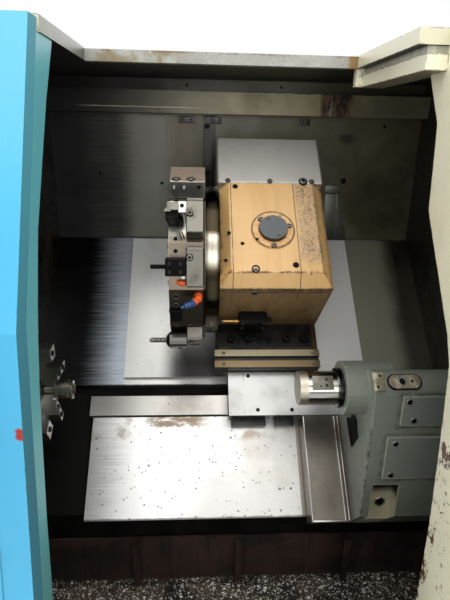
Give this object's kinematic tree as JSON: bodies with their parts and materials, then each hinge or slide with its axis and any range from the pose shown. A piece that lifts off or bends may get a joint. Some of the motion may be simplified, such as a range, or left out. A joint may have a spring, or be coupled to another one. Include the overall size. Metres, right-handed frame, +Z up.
{
  "type": "cnc turning lathe",
  "caption": "Slant-bed turning lathe with sliding front door, power chuck, indexing tool turret on a cross slide, and a tailstock with a quill.",
  "frame": {"origin": "centre of the floor area the machine covers", "axes": "+X along the spindle towards the tailstock, -Y towards the operator, +Z up"},
  "size_m": [2.5, 1.637, 1.802],
  "materials": {
    "cyan_paint": "semi-gloss cyan enamel, lightly scratched",
    "teal_paint": "satin teal enamel with worn edges",
    "cream_paint": "satin cream enamel, stained and chipped",
    "sand_paint": "worn sand-yellow enamel with oily dark grime",
    "grey_green_paint": "satin grey-green enamel, stained with coolant",
    "dark_paint": "dark oily enamel with brown stains",
    "stainless": "brushed stainless sheet with coolant stains",
    "galvanised": "dull galvanised sheet with rust spots",
    "machined_steel": "turned and ground steel",
    "blackened_steel": "black oxide steel",
    "cast_iron": "machined and bare cast iron, oily",
    "rubber": "black rubber",
    "window_glass": "clear safety glass",
    "red_plastic": "red plastic",
    "orange_plastic": "orange jointed hose plastic"
  },
  "bodies": {
    "machine": {"machine_base": "cast_iron", "slant_bed": "cast_iron", "headstock": "cast_iron", "left_bulkhead": "dark_paint", "right_bulkhead": "grey_green_paint", "rear_chamber_wall": "galvanised", "slant_cover": "stainless", "tailstock_guide": "machined_steel", "lower_cover": "stainless", "chip_pan": "dark_paint", "front_left_cover": "teal_paint", "front_right_cover": "cream_paint", "sill_cover": "cream_paint", "left_jamb": "teal_paint", "right_jamb": "cream_paint", "roof_cover": "cream_paint", "header_beam": "galvanised", "left_side_cover": "cream_paint", "right_side_cover": "cream_paint", "rear_cover": "cream_paint", "electrical_cabinet": "cream_paint", "door_rail": "machined_steel", "spindle_motor": "dark_paint", "drive_belt": "rubber", "carriage_servo": "dark_paint", "operator_panel": "cream_paint"},
    "door": {"door_leaf": "cyan_paint", "door_window": "window_glass", "door_handle": "machined_steel"},
    "spindle": {"spindle_shaft": "machined_steel", "chuck_body": "machined_steel", "workpiece": "machined_steel"},
    "jaw_1": {"chuck_jaw_1": "machined_steel"},
    "jaw_2": {"chuck_jaw_2": "machined_steel"},
    "jaw_3": {"chuck_jaw_3": "machined_steel"},
    "motor_drive": {"motor_pulley": "cast_iron"},
    "carriage": {"saddle": "cast_iron", "way_cover": "stainless"},
    "telescopic_cover": {"way_cover_right": "stainless"},
    "cross_slide_unit": {"cross_slide": "cast_iron", "slide_wiper": "machined_steel", "turret_housing": "sand_paint", "housing_cap": "machined_steel", "housing_top_cover": "galvanised", "switch_box": "blackened_steel"},
    "turret": {"turret_drum": "machined_steel", "tool_block": "machined_steel", "clamp_plate_1": "machined_steel", "clamp_plate_2": "machined_steel", "clamp_plate_3": "machined_steel", "turning_tool": "blackened_steel", "boring_holder": "blackened_steel", "drill_holder": "machined_steel", "coolant_nozzle": "orange_plastic"},
    "tailstock": {"tailstock_body": "grey_green_paint", "tailstock_base": "stainless"},
    "tailstock_quill": {"quill": "machined_steel"},
    "emergency_stop": {"estop_button": "red_plastic"},
    "feed_override": {"override_knob": "blackened_steel"},
    "jog_handwheel": {"handwheel": "machined_steel"}
  },
  "joints": [
    {"name": "door_slide", "type": "slide", "parent": "machine", "child": "door", "axis": [1, 0, 0], "range_m": [0, 0.7]},
    {"name": "spindle_spin", "type": "hinge", "parent": "machine", "child": "spindle", "pos_m": [-0.05, -0.3315, 1.05], "axis": [1, 0, 0], "continuous": true},
    {"name": "motor_spin", "type": "hinge", "parent": "machine", "child": "motor_drive", "pos_m": [-0.05, 0.1985, 1.42], "axis": [1, 0, 0], "continuous": true},
    {"name": "jaw_1_slide", "type": "slide", "parent": "spindle", "child": "jaw_1", "axis": [0, -0.0872, 0.9962], "range_m": [0, 0.004]},
    {"name": "jaw_2_slide", "type": "slide", "parent": "spindle", "child": "jaw_2", "axis": [0, -0.8192, -0.5736], "range_m": [0, 0.004]},
    {"name": "jaw_3_slide", "type": "slide", "parent": "spindle", "child": "jaw_3", "axis": [0, 0.9063, -0.4226], "range_m": [0, 0.004]},
    {"name": "carriage_slide", "type": "slide", "parent": "machine", "child": "carriage", "axis": [1, 0, 0], "range_m": [-0.14, 0.04]},
    {"name": "telescopic_cover_slide", "type": "slide", "parent": "machine", "child": "telescopic_cover", "axis": [1, 0, 0], "range_m": [-0.07, 0.02]},
    {"name": "cross_slide", "type": "slide", "parent": "carriage", "child": "cross_slide_unit", "axis": [0, -0.7071, -0.7071], "range_m": [-0.08, 0.0955]},
    {"name": "turret_index", "type": "hinge", "parent": "cross_slide_unit", "child": "turret", "pos_m": [-0.05, -0.08295, 1.29855], "axis": [1, 0, 0], "continuous": true},
    {"name": "tailstock_slide", "type": "slide", "parent": "machine", "child": "tailstock", "axis": [1, 0, 0], "range_m": [-0.2, 0]},
    {"name": "quill_slide", "type": "slide", "parent": "tailstock", "child": "tailstock_quill", "axis": [-1, 0, 0], "range_m": [0, 0.1]},
    {"name": "estop_press", "type": "slide", "parent": "machine", "child": "emergency_stop", "axis": [0, 0.9144, -0.4049], "range_m": [0, 0.006], "stiffness_N_per_m": 600},
    {"name": "override_turn", "type": "hinge", "parent": "machine", "child": "feed_override", "pos_m": [0.9, -0.70993, 1.44359], "axis": [0, -0.9144, 0.4049], "range_deg": [-135, 135]},
    {"name": "handwheel_turn", "type": "hinge", "parent": "machine", "child": "jog_handwheel", "pos_m": [0.98, -0.60871, 1.67218], "axis": [0, -0.9144, 0.4049], "continuous": true}
  ],
  "couplings": [
    {"joint": "motor_spin", "follows": "spindle_spin", "ratio": 1.4375},
    {"joint": "jaw_2_slide", "follows": "jaw_1_slide", "ratio": 1},
    {"joint": "jaw_3_slide", "follows": "jaw_1_slide", "ratio": 1},
    {"joint": "telescopic_cover_slide", "follows": "carriage_slide", "ratio": 0.5}
  ]
}
